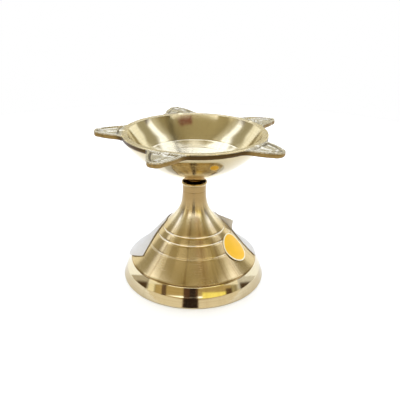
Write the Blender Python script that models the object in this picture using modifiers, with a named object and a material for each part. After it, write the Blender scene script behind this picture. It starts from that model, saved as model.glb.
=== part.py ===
"""Five-spouted brass diya: a cast dish on a hollow turned stand, screwed together by a stud.

Metres, +Z up. The origin is the centre of the foot, on the surface that the lamp stands on.
"""

import math

import bmesh
import bpy
from mathutils import Vector

MM = 0.001

# ---- Driving dimensions -------------------------------------------------------------------
GAP = 0.3 * MM  # clearance between separate pieces
STEPS = 48  # segments round a turned piece
MERGE_DISTANCE = 0.01 * MM
INSIDE_STEPS = 14  # segments along the profile of the bowl's inside

# Stand
FOOT_RADIUS = 35.3 * MM
FOOT_INNER_RADIUS = 32.4 * MM
FOOT_EDGE = 0.3 * MM  # bevel round the bottom of the foot
FOOT_CREASE_RADIUS, FOOT_CREASE_Z = 33.7 * MM, 4.6 * MM
CONE_FOOT_RADIUS, CONE_FOOT_Z = 31.4 * MM, 9.6 * MM
CONE_TOP_RADIUS, CONE_TOP_Z = 13.6 * MM, 27.8 * MM
CONE_HOLLOW = 0.8 * MM  # how far the cone's slope is below a straight line, two thirds of the way down
CONE_SPANS = 5  # segments along the slope below the grooves
CONE_GROOVE_HEIGHTS = (25.9 * MM, 22.9 * MM)
FOOT_GROOVE_DEPTH = 0.5 * MM
NECK_RADIUS, NECK_Z = 5.75 * MM, 43.8 * MM
LIP_RADIUS, LIP_HEIGHT = 6.15 * MM, 1.5 * MM
STAND_HEIGHT = 49.3 * MM
STAND_WALL = 1.6 * MM
RECESS_RADIUS, RECESS_DEPTH = 5.6 * MM, 2.2 * MM
CORE_FLOOR_Z = 33.0 * MM  # where the hollow under the stand ends
CORE_FLOOR_RADIUS = 5.0 * MM

# Stud (M5) and the bowl's boss
STUD_RADIUS = 2.5 * MM
STUD_BOTTOM_Z, STUD_TOP_Z = 38.5 * MM, 51.4 * MM
STUD_CHAMFER = 0.5 * MM
BOSS_RADIUS = 4.0 * MM
HOLE_RADIUS = STUD_RADIUS + GAP

# Bowl
RIM_RADIUS, RIM_Z = 33.9 * MM, 73.9 * MM
RIM_BAND = 2.4 * MM  # height of the plain band round the rim
BAND_STEP = 0.5 * MM  # the body starts this far inside the band
BODY_BOTTOM_Z = 51.3 * MM
BODY_HANDLE_LOW = (16.6 * MM, 55.7 * MM)
BODY_HANDLE_HIGH = (26.0 * MM, 60.6 * MM)
INSIDE_ARC_RADIUS, INSIDE_ARC_Z = 34.6 * MM, 88.6 * MM  # the turned inside, part of a sphere
LEDGE_RADIUS = 31.2 * MM  # edge of the turned inside
LEDGE_Z = INSIDE_ARC_Z - math.sqrt(INSIDE_ARC_RADIUS**2 - LEDGE_RADIUS**2)

# Spouts, as angle and reach: a hand-finished casting, so they aren't quite evenly spaced or alike
SPOUTS = (
    (34.0, 47.9 * MM),
    (103.3, 47.3 * MM),
    (180.0, 46.6 * MM),
    (249.5, 47.3 * MM),
    (322.0, 46.9 * MM),
)
SPOUT_TOP_Z = RIM_Z + 0.1 * MM
SPOUT_THICKNESS = 2.4 * MM
SPOUT_EDGE_ROUND = 0.3 * MM
# Half outlines as distances out from the axis and sideways, from the root to the tip
SPOUT_SIDE = ((31.8 * MM, 9.8 * MM), (35.0 * MM, 7.7 * MM), (40.0 * MM, 6.0 * MM), (44.6 * MM, 3.5 * MM))
SPOUT_ROOT_HALF_ANGLE = 22.0
CHANNEL_DEPTH = 0.6 * MM
CHANNEL_SIDE = ((29.4 * MM, 5.9 * MM), (34.0 * MM, 5.3 * MM), (40.5 * MM, 3.0 * MM))
CHANNEL_TIP = 43.6 * MM
CHANNEL_OVERSHOOT = 1.0 * MM  # how far its cutter stands above the spout

# Stickers on the cone
PAPER_THICKNESS = 0.25 * MM
STICKER_RADIUS = 7.5 * MM
STICKER_ANGLE, STICKER_SLANT = -25.5, 12.6 * MM
# The label's corners: angle about Z in degrees, distance down the cone's slope
LABEL_TOP_LEFT, LABEL_TOP_RIGHT = (180.0, 0.5 * MM), (10.0, 3.0 * MM)
LABEL_FRONT_LEFT = (202.5, 19.5 * MM)
LABEL_BOTTOM_LEFT, LABEL_BOTTOM_RIGHT = (180.0, 25.2 * MM), (-5.0, 25.2 * MM)
LABEL_BOTTOM_START = 0.12  # where the bottom edge turns its corner, as a share of the label's length


# ---- Scene and materials ------------------------------------------------------------------
def clear_scene():
    for item in list(bpy.data.objects):
        bpy.data.objects.remove(item)


def new_collection(name):
    made = bpy.data.collections.new(name)
    bpy.context.scene.collection.children.link(made)
    return made


def new_material(name, colour, roughness, metallic):
    made = bpy.data.materials.new(name)
    made.use_nodes = True
    shader = made.node_tree.nodes["Principled BSDF"]
    shader.inputs["Base Color"].default_value = (*colour, 1.0)
    shader.inputs["Roughness"].default_value = roughness
    shader.inputs["Metallic"].default_value = metallic
    return made


def new_object(name, data, home, material=None):
    made = bpy.data.objects.new(name, data)
    home.objects.link(made)
    if material:
        data.materials.append(material)
    return made


def make_cutter(cutter):
    cutter.hide_render = True
    cutter.display_type = "WIRE"


def add_boolean(target, other, operation):
    boolean = target.modifiers.new(f"{operation.lower()} {other.name}", "BOOLEAN")
    boolean.operation = operation
    boolean.object = other
    make_cutter(other)


# ---- Curves that the profiles use ---------------------------------------------------------
def bezier(first, handle_a, handle_b, last, count):
    """Points along a cubic curve, its two ends included."""
    points = []
    for i in range(count + 1):
        t = i / count
        weights = ((1 - t) ** 3, 3 * t * (1 - t) ** 2, 3 * t**2 * (1 - t), t**3)
        corners = (first, handle_a, handle_b, last)
        points.append(tuple(sum(w * c[k] for w, c in zip(weights, corners)) for k in (0, 1)))
    return points


def offset_curve(points, distance):
    """The same open curve moved sideways, to the right of its own direction."""
    moved = []
    for i, (r, z) in enumerate(points):
        before, after = points[max(i - 1, 0)], points[min(i + 1, len(points) - 1)]
        along = Vector((after[0] - before[0], after[1] - before[1])).normalized()
        moved.append((r + along.y * distance, z - along.x * distance))
    return moved


def groove(start, end, depth):
    """A shallow V between two points of a profile that runs down its outer side."""
    middle = offset_curve([start, end], depth)
    return [start, tuple((a + b) / 2 for a, b in zip(*middle)), end]


CONE_LENGTH = math.hypot(CONE_FOOT_RADIUS - CONE_TOP_RADIUS, CONE_TOP_Z - CONE_FOOT_Z)
CONE_SINE = (CONE_FOOT_RADIUS - CONE_TOP_RADIUS) / CONE_LENGTH
CONE_COSINE = (CONE_TOP_Z - CONE_FOOT_Z) / CONE_LENGTH


def cone_point(z, lift=0.0):
    """The point of the cone's slightly hollow slope at about this height, or one off it."""
    share = (CONE_TOP_Z - z) / (CONE_TOP_Z - CONE_FOOT_Z)
    lift -= CONE_HOLLOW * share**2 * (1 - share) * 27 / 4
    radius = CONE_TOP_RADIUS + share * (CONE_FOOT_RADIUS - CONE_TOP_RADIUS)
    return radius + lift * CONE_COSINE, z + lift * CONE_SINE


# ---- Turned pieces ------------------------------------------------------------------------
def turned(name, profile, home, material):
    """A closed profile, or one that ends on the axis, turned about Z."""
    mesh = bpy.data.meshes.new(name)
    count = len(profile)
    on_axis = profile[0][0] == 0 and profile[-1][0] == 0
    edges = [(i, i + 1) for i in range(count - 1)]
    if not on_axis:
        edges.append((count - 1, 0))
    mesh.from_pydata([(r, 0, z) for r, z in profile], edges, [])
    made = new_object(name, mesh, home, material)
    screw = made.modifiers.new("turn", "SCREW")
    screw.angle = math.tau
    screw.steps = STEPS
    screw.render_steps = STEPS
    screw.use_merge_vertices = True
    screw.merge_threshold = MERGE_DISTANCE
    screw.use_smooth_shade = True
    return made


def stand_profile():
    lip = [
        (RECESS_RADIUS + 0.1 * MM, STAND_HEIGHT),
        (LIP_RADIUS - 0.1 * MM, STAND_HEIGHT - 0.2 * MM),
        (LIP_RADIUS, STAND_HEIGHT - 0.6 * MM),
        (LIP_RADIUS - 0.1 * MM, STAND_HEIGHT - 1.1 * MM),
        (NECK_RADIUS, STAND_HEIGHT - LIP_HEIGHT),
    ]
    drop = NECK_Z - CONE_TOP_Z
    flare = bezier(
        (NECK_RADIUS, NECK_Z),
        (NECK_RADIUS + 0.2 * MM, NECK_Z - 0.5 * drop),
        (CONE_TOP_RADIUS - 0.35 * drop, CONE_TOP_Z + 0.36 * drop),
        (CONE_TOP_RADIUS, CONE_TOP_Z),
        9,
    )
    outer = lip + flare
    for z in CONE_GROOVE_HEIGHTS:
        outer += groove(cone_point(z + 0.2 * MM), cone_point(z - 0.2 * MM), 0.15 * MM)
    slope_top, slope_foot = CONE_GROOVE_HEIGHTS[-1] - 0.2 * MM, CONE_FOOT_Z + 0.3 * MM
    for i in range(1, CONE_SPANS + 1):
        outer.append(cone_point(slope_top + (slope_foot - slope_top) * i / CONE_SPANS))
    outer.append((CONE_FOOT_RADIUS - FOOT_GROOVE_DEPTH, CONE_FOOT_Z - 0.2 * MM))
    outer += bezier(
        (CONE_FOOT_RADIUS, CONE_FOOT_Z - 0.7 * MM),
        (CONE_FOOT_RADIUS + 0.4 * MM, CONE_FOOT_Z - 2.4 * MM),
        (FOOT_CREASE_RADIUS - 1.0 * MM, FOOT_CREASE_Z + 1.4 * MM),
        (FOOT_CREASE_RADIUS, FOOT_CREASE_Z),
        4,
    )
    outer += bezier(
        (FOOT_CREASE_RADIUS + 0.1 * MM, FOOT_CREASE_Z - 0.1 * MM),
        (FOOT_CREASE_RADIUS + 0.65 * MM, FOOT_CREASE_Z - 1.5 * MM),
        (FOOT_RADIUS - 0.4 * MM, 1.6 * MM),
        (FOOT_RADIUS, 0.4 * MM),
        4,
    )
    outer.append((FOOT_RADIUS - FOOT_EDGE, 0.0))
    inner_foot = CONE_FOOT_RADIUS - 1.5 * STAND_WALL
    inner = [
        (FOOT_INNER_RADIUS, 0.0),
        (FOOT_INNER_RADIUS - 0.3 * MM, 1.5 * MM),
        (inner_foot + 1.2 * MM, 6.4 * MM),
        (inner_foot, CONE_FOOT_Z - 0.3 * MM),
        cone_point((CONE_FOOT_Z + CONE_TOP_Z) / 2, -STAND_WALL),
        (CONE_TOP_RADIUS - 1.2 * STAND_WALL, CONE_TOP_Z - 0.6 * MM),
        (CORE_FLOOR_RADIUS + 1.5 * MM, CORE_FLOOR_Z - 0.8 * MM),
        (CORE_FLOOR_RADIUS, CORE_FLOOR_Z),
        (HOLE_RADIUS, CORE_FLOOR_Z),
        (HOLE_RADIUS, STAND_HEIGHT - RECESS_DEPTH),
        (RECESS_RADIUS, STAND_HEIGHT - RECESS_DEPTH),
    ]
    return outer + inner


def stud_profile():
    return [
        (0.0, STUD_TOP_Z),
        (STUD_RADIUS - STUD_CHAMFER, STUD_TOP_Z),
        (STUD_RADIUS, STUD_TOP_Z - STUD_CHAMFER),
        (STUD_RADIUS, STUD_BOTTOM_Z + STUD_CHAMFER),
        (STUD_RADIUS - STUD_CHAMFER, STUD_BOTTOM_Z),
        (0.0, STUD_BOTTOM_Z),
    ]


def bowl_profile():
    """Out from the floor's centre over the inside, down the outside, then up the stud's hole."""
    turn_at_edge = math.asin(LEDGE_RADIUS / INSIDE_ARC_RADIUS)
    inside = []
    for i in range(INSIDE_STEPS):
        turn = turn_at_edge * i / INSIDE_STEPS
        inside.append((INSIDE_ARC_RADIUS * math.sin(turn), INSIDE_ARC_Z - INSIDE_ARC_RADIUS * math.cos(turn)))
    ledge = [
        (LEDGE_RADIUS, LEDGE_Z),
        (RIM_RADIUS - 1.3 * MM, RIM_Z - 0.2 * MM),
    ]
    rim = [
        (RIM_RADIUS - 0.9 * MM, RIM_Z),
        (RIM_RADIUS - 0.2 * MM, RIM_Z),
        (RIM_RADIUS, RIM_Z - 0.3 * MM),
        (RIM_RADIUS, RIM_Z - RIM_BAND),
    ]
    body = bezier(
        (RIM_RADIUS - BAND_STEP, RIM_Z - RIM_BAND - 0.2 * MM),
        BODY_HANDLE_HIGH,
        BODY_HANDLE_LOW,
        (BOSS_RADIUS + 1.2 * MM, BODY_BOTTOM_Z),
        14,
    )
    boss_end = STAND_HEIGHT - RECESS_DEPTH + GAP
    boss = [
        (BOSS_RADIUS, BODY_BOTTOM_Z - 0.5 * MM),
        (BOSS_RADIUS, boss_end + 0.3 * MM),
        (BOSS_RADIUS - 0.3 * MM, boss_end),
        (HOLE_RADIUS, boss_end),
        (HOLE_RADIUS, STUD_TOP_Z + GAP),
        (0.0, STUD_TOP_Z + GAP),
    ]
    return inside + ledge + rim + body + boss


# ---- Spouts -------------------------------------------------------------------------------
def spout_root():
    """The inner end of a spout, which follows the edge of the turned inside."""
    radius = LEDGE_RADIUS + GAP
    turns = [math.radians(SPOUT_ROOT_HALF_ANGLE * share) for share in (0.0, 0.5, 1.0)]
    return [(radius * math.cos(turn), radius * math.sin(turn)) for turn in turns]


def spout_plate(name, side, sharp_corner, tip, bottom, top, angle, edge_round, home):
    """A flat plate along +X with a rounded tip, turned to its angle about Z and made a mesh."""
    curve = bpy.data.curves.new(name, "CURVE")
    curve.dimensions = "2D"
    curve.fill_mode = "BOTH"
    curve.resolution_u = 4
    curve.extrude = (top - bottom) / 2 - edge_round
    curve.bevel_depth = edge_round
    curve.bevel_resolution = 1
    curve.offset = -edge_round
    corners = [*side, (tip, 0.0), *((u, -v) for u, v in reversed(side) if v > 0)]
    spline = curve.splines.new("BEZIER")
    spline.bezier_points.add(len(corners) - 1)
    spline.use_cyclic_u = True
    root_corners = (sharp_corner, (sharp_corner[0], -sharp_corner[1]))
    for point, corner in zip(spline.bezier_points, corners):
        point.co = (*corner, 0.0)
        handle = "VECTOR" if corner in root_corners else "AUTO"
        point.handle_left_type = point.handle_right_type = handle
    guide = new_object(name + " curve", curve, home)
    guide.location.z = (top + bottom) / 2
    guide.rotation_euler.z = math.radians(angle)
    return curve_to_mesh(guide, name, home)


def curve_to_mesh(guide, name, home):
    """The curve as a closed mesh object in the same place; the curve is removed."""
    bpy.context.view_layer.update()
    evaluated = guide.evaluated_get(bpy.context.evaluated_depsgraph_get())
    mesh = bpy.data.meshes.new_from_object(evaluated)
    work = bmesh.new()
    work.from_mesh(mesh)
    bmesh.ops.remove_doubles(work, verts=work.verts, dist=MERGE_DISTANCE)
    bmesh.ops.recalc_face_normals(work, faces=work.faces)
    work.to_mesh(mesh)
    work.free()
    made = new_object(name, mesh, home)
    made.matrix_world = guide.matrix_world
    bpy.data.objects.remove(guide)
    return made


def add_spouts(bowl, helpers):
    root = spout_root()
    for i, (angle, reach) in enumerate(SPOUTS, 1):
        plate = spout_plate(
            f"spout {i}",
            [*root, *SPOUT_SIDE],
            root[-1],
            reach,
            SPOUT_TOP_Z - SPOUT_THICKNESS,
            SPOUT_TOP_Z,
            angle,
            SPOUT_EDGE_ROUND,
            helpers,
        )
        add_boolean(bowl, plate, "UNION")
    for i, (angle, _) in enumerate(SPOUTS, 1):
        channel = spout_plate(
            f"channel {i}",
            CHANNEL_SIDE,
            CHANNEL_SIDE[0],
            CHANNEL_TIP,
            SPOUT_TOP_Z - CHANNEL_DEPTH,
            SPOUT_TOP_Z + CHANNEL_OVERSHOOT,
            angle,
            0.0,
            helpers,
        )
        add_boolean(bowl, channel, "DIFFERENCE")


# ---- Stickers -----------------------------------------------------------------------------
APEX_TO_CONE_TOP = CONE_TOP_RADIUS / CONE_SINE


def on_cone(angle, slant, lift):
    """The point at an angle about Z (radians), a distance down the cone's slope, and a height off it."""
    radius, height = cone_point(CONE_TOP_Z - slant * CONE_COSINE, lift)
    return Vector((radius * math.cos(angle), radius * math.sin(angle), height))


def finish_paper(name, work, home, material):
    """The open surface in the bmesh, given its thickness outwards."""
    mesh = bpy.data.meshes.new(name)
    work.to_mesh(mesh)
    work.free()
    mesh.shade_smooth()
    made = new_object(name, mesh, home, material)
    solid = made.modifiers.new("thickness", "SOLIDIFY")
    solid.thickness = PAPER_THICKNESS
    solid.offset = 1.0
    return made


def round_sticker(home, material):
    """A flat disc rolled onto the cone without stretching."""
    work = bmesh.new()
    bmesh.ops.create_circle(work, cap_ends=True, cap_tris=True, segments=32, radius=STICKER_RADIUS)
    bmesh.ops.subdivide_edges(work, edges=work.edges[:], cuts=2, use_grid_fill=True)
    centre = APEX_TO_CONE_TOP + STICKER_SLANT
    for point in work.verts:
        across, down = point.co.x, point.co.y
        from_apex = math.hypot(centre + down, across)
        turn = math.atan2(across, centre + down) / CONE_SINE
        angle = math.radians(STICKER_ANGLE) + turn
        point.co = on_cone(angle, from_apex - APEX_TO_CONE_TOP, GAP)
    face_outwards(work)
    return finish_paper("round_sticker", work, home, material)


def paper_label(home, material):
    """A strip of paper round the back of the cone, with a slanted end at the left."""
    work = bmesh.new()
    bmesh.ops.create_grid(work, x_segments=50, y_segments=6, size=0.5)
    for point in work.verts:
        across, down = point.co.x + 0.5, 0.5 - point.co.y
        top = blend(LABEL_TOP_LEFT, LABEL_TOP_RIGHT, across)
        if across < LABEL_BOTTOM_START:
            bottom = blend(LABEL_FRONT_LEFT, LABEL_BOTTOM_LEFT, across / LABEL_BOTTOM_START)
        else:
            rest = (across - LABEL_BOTTOM_START) / (1 - LABEL_BOTTOM_START)
            bottom = blend(LABEL_BOTTOM_LEFT, LABEL_BOTTOM_RIGHT, rest)
        angle, slant = blend(top, bottom, down)
        point.co = on_cone(math.radians(angle), slant, GAP)
    face_outwards(work)
    return finish_paper("paper_label", work, home, material)


def blend(first, second, share):
    return tuple(a + share * (b - a) for a, b in zip(first, second))


def face_outwards(work):
    """Turns the faces of a surface round Z away from the axis."""
    work.normal_update()
    for face in work.faces:
        middle = face.calc_center_median()
        if face.normal.dot(Vector((middle.x, middle.y, 0.0))) < 0:
            face.normal_flip()


# ---- The lamp -----------------------------------------------------------------------------
def main():
    clear_scene()
    parts = new_collection("diya oil lamp")
    helpers = new_collection("cutters and joined shapes")
    brass = new_material("brass", (0.72, 0.53, 0.26), 0.22, 1.0)
    steel = new_material("steel", (0.55, 0.54, 0.52), 0.35, 1.0)
    yellow = new_material("yellow sticker", (0.84, 0.52, 0.05), 0.5, 0.0)
    paper = new_material("paper", (0.80, 0.80, 0.80), 0.8, 0.0)

    turned("stand", stand_profile(), parts, brass)
    turned("threaded_stud", stud_profile(), parts, steel)
    bowl = turned("lamp_bowl", bowl_profile(), parts, brass)
    add_spouts(bowl, helpers)
    round_sticker(parts, yellow)
    paper_label(parts, paper)


main()
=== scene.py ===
import math

import bpy
import numpy as np
from mathutils import Euler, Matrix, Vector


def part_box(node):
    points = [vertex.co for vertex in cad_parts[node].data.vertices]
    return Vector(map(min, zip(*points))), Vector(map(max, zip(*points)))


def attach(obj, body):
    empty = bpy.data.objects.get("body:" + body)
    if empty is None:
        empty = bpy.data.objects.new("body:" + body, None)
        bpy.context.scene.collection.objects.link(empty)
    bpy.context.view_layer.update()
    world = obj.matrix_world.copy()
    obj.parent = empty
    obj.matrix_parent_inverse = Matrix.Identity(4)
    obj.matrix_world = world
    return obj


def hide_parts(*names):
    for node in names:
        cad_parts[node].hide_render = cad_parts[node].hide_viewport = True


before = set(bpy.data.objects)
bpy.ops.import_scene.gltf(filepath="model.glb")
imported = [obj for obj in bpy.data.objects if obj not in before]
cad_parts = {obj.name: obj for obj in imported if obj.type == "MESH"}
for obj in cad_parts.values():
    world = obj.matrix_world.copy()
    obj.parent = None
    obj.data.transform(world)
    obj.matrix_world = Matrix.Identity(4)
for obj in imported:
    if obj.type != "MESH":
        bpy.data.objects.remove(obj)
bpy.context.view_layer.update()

MM = 0.001
_, STAND_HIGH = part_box("stand")
_, BOWL_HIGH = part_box("lamp_bowl")
STUD_LOW, STUD_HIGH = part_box("threaded_stud")

# ---- Sizes, the same as the CAD model's ---------------------------------------------------
GAP = 0.3 * MM  # clearance between separate pieces

# Stand: profile points are (radius, height)
FOOT_RADIUS = STAND_HIGH.x
STAND_HEIGHT = STAND_HIGH.z
FOOT_INNER_RADIUS = 32.4 * MM
FOOT_CREASE = (33.7 * MM, 4.6 * MM)
CONE_FOOT = (31.4 * MM, 9.6 * MM)
CONE_TOP = (13.6 * MM, 27.8 * MM)
CONE_HOLLOW = 0.8 * MM  # how far the slope is below a straight line, two thirds of the way down
NECK_RADIUS, NECK_Z = 5.75 * MM, 43.8 * MM
LIP_RADIUS, LIP_HEIGHT = 6.15 * MM, 1.5 * MM
RECESS_RADIUS, RECESS_DEPTH = 5.6 * MM, 2.2 * MM
STAND_WALL = 1.6 * MM
CORE_FLOOR = (5.0 * MM, 33.0 * MM)

# Stud and boss
STUD_RADIUS = STUD_HIGH.x
HOLE_RADIUS = STUD_RADIUS + GAP
THREAD_PITCH = 0.8 * MM
THREAD_DEPTH = 0.45 * MM
BOSS_RADIUS = 4.0 * MM

# Bowl
RIM_RADIUS, RIM_Z = 33.9 * MM, 73.9 * MM
SPOUT_TOP_Z = BOWL_HIGH.z
RIM_BAND = 2.4 * MM
BODY_RADIUS = RIM_RADIUS - 0.5 * MM
BODY_BOTTOM_Z = 51.3 * MM
BODY_HANDLE_LOW = (16.6 * MM, 55.7 * MM)
BODY_HANDLE_HIGH = (26.0 * MM, 60.6 * MM)
INSIDE_ARC_RADIUS, INSIDE_ARC_Z = 34.6 * MM, 88.6 * MM  # the turned inside, part of a sphere
LEDGE_RADIUS = 31.2 * MM
FLOOR_Z = INSIDE_ARC_Z - INSIDE_ARC_RADIUS
# Each spout's angle about Z in degrees, its reach from the axis, and how far its tip droops
SPOUTS = (
    (34.0, 47.9 * MM, 0.5 * MM),
    (103.3, 47.3 * MM, 0.0),
    (180.0, 46.6 * MM, 0.0),
    (249.5, 47.3 * MM, 0.0),
    (322.0, 46.9 * MM, 0.2 * MM),
)
# Half outline of a spout: distance out from the axis, half width
SPOUT_SIDE = (
    (32.4 * MM, 9.9 * MM),
    (33.6 * MM, 8.7 * MM),
    (35.4 * MM, 7.6 * MM),
    (38.0 * MM, 6.8 * MM),
    (40.4 * MM, 5.9 * MM),
    (42.6 * MM, 4.8 * MM),
    (44.6 * MM, 3.5 * MM),
)

# Stickers: angle about Z in degrees, distance down the cone's slope
PAPER_THICKNESS = 0.2 * MM
STICKER_RADIUS = 7.5 * MM
STICKER_ANGLE, STICKER_SLANT = -25.5, 12.6 * MM
# The label's edges: share of its length, angle, distance down the slope
LABEL_TOP = ((0.0, 180.0, 0.0), (0.82, 37.0, -0.8 * MM), (1.0, 10.0, 5.4 * MM))
LABEL_BOTTOM = ((0.0, 202.5, 19.5 * MM), (0.12, 183.0, 26.6 * MM), (1.0, -5.0, 25.2 * MM))

FLOOR_RADIUS = 0.36
CAMERA_PLACE = (0.0, -0.2334, 0.1419)
CAMERA_YAW, CAMERA_PITCH, CAMERA_ROLL = 0.69, 23.77, 0.91  # degrees
CAMERA_LENS = 46.94
SENSOR_WIDTH = 36.0
FILL_SIZE, FILL_HEIGHT, FILL_ENERGY = 1.2, 0.8, 5.0  # metres, metres, watts


# ---- Curves and profiles ------------------------------------------------------------------
def bezier(first, handle_a, handle_b, last, count):
    """Points along a cubic curve, its two ends included."""
    t = np.linspace(0, 1, count + 1)[:, None]
    a, b, c, d = (np.array(point) for point in (first, handle_a, handle_b, last))
    return (1 - t) ** 3 * a + 3 * t * (1 - t) ** 2 * b + 3 * t**2 * (1 - t) * c + t**3 * d


def smooth_through(points, per_span):
    """Points along a Catmull-Rom curve through the given ones."""
    points = np.array(points)
    padded = np.vstack([2 * points[0] - points[1], points, 2 * points[-1] - points[-2]])
    curve = []
    for i in range(len(points) - 1):
        before, start, end, after = padded[i : i + 4]
        handles = start + (end - before) / 6, end - (after - start) / 6
        curve.append(bezier(start, *handles, end, per_span)[:-1])
    return np.vstack([*curve, points[-1:]])


def distances_along(points):
    return np.concatenate([[0.0], np.cumsum(np.linalg.norm(np.diff(points, axis=0), axis=1))])


def smoothstep(low, high, value):
    share = np.clip((value - low) / (high - low), 0, 1)
    return share * share * (3 - 2 * share)


def bump_shape(offset, half_width):
    """1 in the middle of a ridge or groove, falling smoothly to 0 at its edges."""
    share = np.clip(1 - (offset / half_width) ** 2, 0, 1)
    return share * share


def with_grooves(profile, spacing, grooves):
    """A profile resampled evenly, with rings (height, half width, depth) sunk into its right side.

    The right side is the one to the right of the profile's own direction, seen with Z up.
    """
    profile = np.array(profile)
    along = distances_along(profile)
    samples = list(np.linspace(0, along[-1], max(2, round(along[-1] / spacing)) + 1))
    centres = []
    for height, half_width, depth in grooves:
        centre = along[np.argmin(abs(profile[:, 1] - height))]
        fine = np.interp(height, *sorted_pairs(profile[:, 1], along))
        centre = fine if abs(fine - centre) < spacing * 2 else centre
        centres.append((centre, half_width, depth))
        samples = [s for s in samples if abs(s - centre) > half_width * 1.3 or s in (0, along[-1])]
        samples += list(centre + half_width * np.linspace(-1, 1, 9))
    samples = np.array(sorted(s for s in samples if 0 <= s <= along[-1]))
    points = np.stack([np.interp(samples, along, profile[:, k]) for k in (0, 1)], axis=1)
    slope = np.gradient(points, axis=0)
    slope /= np.linalg.norm(slope, axis=1)[:, None]
    inward = np.stack([slope[:, 1], -slope[:, 0]], axis=1)
    for centre, half_width, depth in centres:
        points += inward * (depth * bump_shape(samples - centre, half_width))[:, None]
    return points


def sorted_pairs(keys, values):
    order = np.argsort(keys)
    return keys[order], values[order]


# ---- Meshes -------------------------------------------------------------------------------
def lofted(name, rings, slots, closed=False):
    """A closed mesh through rings of points. A ring of one point is a pole.

    slots has the material number of each band between two rings. A closed loft joins its last
    ring to its first one, as for a turned piece that is open in the middle.
    """
    points = np.vstack(rings)
    starts = np.cumsum([0] + [len(ring) for ring in rings])
    faces, numbers = [], []
    pairs = list(range(len(rings) - 1)) + ([len(rings) - 1] if closed else [])
    for band in pairs:
        after = (band + 1) % len(rings)
        first, second = starts[band], starts[after]
        count = max(len(rings[band]), len(rings[after]))
        here = np.arange(count)
        there = (here + 1) % count
        if len(rings[band]) == 1:
            made = np.stack([np.full(count, first), second + here, second + there], axis=1)
        elif len(rings[after]) == 1:
            made = np.stack([first + there, first + here, np.full(count, second)], axis=1)
        else:
            made = np.stack([first + there, first + here, second + here, second + there], axis=1)
        faces += made.tolist()
        numbers += [slots[band]] * count
    mesh = bpy.data.meshes.new(name)
    mesh.from_pydata(points.tolist(), [], faces)
    mesh.polygons.foreach_set("material_index", np.array(numbers, np.int32))
    if signed_volume(points, faces) < 0:
        mesh.flip_normals()
    mesh.shade_smooth()
    made = bpy.data.objects.new(name, mesh)
    bpy.context.scene.collection.objects.link(made)
    return made


def signed_volume(points, faces):
    total = 0.0
    for corners in ([0, 1, 2], [0, 2, 3]):
        picked = np.array([[face[k] for k in corners] for face in faces if len(face) > max(corners)])
        if len(picked):
            a, b, c = (points[picked[:, k]] for k in range(3))
            total += np.einsum("ij,ij->i", a, np.cross(b, c)).sum()
    return total


def turned_ring(radius, height, steps):
    turn = np.linspace(0, math.tau, steps, endpoint=False)
    return np.stack([radius * np.cos(turn), radius * np.sin(turn), np.full(steps, height)], axis=1)


def set_values(piece, name, values):
    """Stores one number for each point of the mesh, for its material to read."""
    stored = piece.data.attributes.new(name, "FLOAT", "POINT")
    stored.data.foreach_set("value", np.asarray(values, np.float32))


# ---- Node trees ---------------------------------------------------------------------------
class Shader:
    """Adds nodes to a tree, each by one short call."""

    def __init__(self, tree):
        self.tree = tree
        tree.nodes.clear()

    def add(self, kind, settings=None, **sockets):
        node = self.tree.nodes.new(kind)
        for key, value in (settings or {}).items():
            setattr(node, key, value)
        for key, value in sockets.items():
            self.plug(node.inputs[key.replace("_", " ")], value)
        return node

    def plug(self, socket, value):
        if isinstance(value, bpy.types.NodeSocket):
            self.tree.links.new(value, socket)
        else:
            socket.default_value = value

    def maths(self, operation, *values, clamp=False):
        node = self.tree.nodes.new("ShaderNodeMath")
        node.operation = operation
        node.use_clamp = clamp
        for socket, value in zip(node.inputs, values):
            self.plug(socket, value)
        return node.outputs[0]

    def ramp_between(self, value, low, high, start=0.0, end=1.0):
        """start below low, end above high, and a smooth step between them."""
        node = self.add("ShaderNodeMapRange", {"interpolation_type": "SMOOTHSTEP"}, Value=value)
        for key, number in (("From Min", low), ("From Max", high), ("To Min", start), ("To Max", end)):
            self.plug(node.inputs[key], number)
        return node.outputs["Result"]

    def mix(self, share, first, second, how="MIX"):
        node = self.tree.nodes.new("ShaderNodeMix")
        node.data_type = "RGBA"
        node.blend_type = how
        sockets = node.inputs[0], node.inputs[6], node.inputs[7]  # its factor and two colours
        for socket, value in zip(sockets, (share, first, second)):
            if isinstance(value, tuple) and len(value) == 3:
                value = (*value, 1.0)
            self.plug(socket, value)
        return node.outputs[2]

    def noise(self, vector, scale, detail=3.0, roughness=0.55):
        node = self.add("ShaderNodeTexNoise", None, Vector=vector, Scale=scale, Detail=detail)
        node.inputs["Roughness"].default_value = roughness
        return node.outputs["Fac"]

    def noise_line(self, value, scale, detail=2.0):
        """Noise that changes along one number only, such as lathe lines along a profile."""
        settings = {"noise_dimensions": "1D"}
        node = self.add("ShaderNodeTexNoise", settings, W=value, Scale=scale, Detail=detail)
        return node.outputs["Fac"]

    def attribute(self, name):
        return self.add("ShaderNodeAttribute", {"attribute_name": name}).outputs["Fac"]

    def split(self, vector):
        return self.add("ShaderNodeSeparateXYZ", None, Vector=vector).outputs


def new_material(name):
    material = bpy.data.materials.new(name)
    material.use_nodes = True
    return material, Shader(material.node_tree)


def finish_material(shader, surface):
    output = shader.add("ShaderNodeOutputMaterial")
    shader.plug(output.inputs["Surface"], surface)


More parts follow.
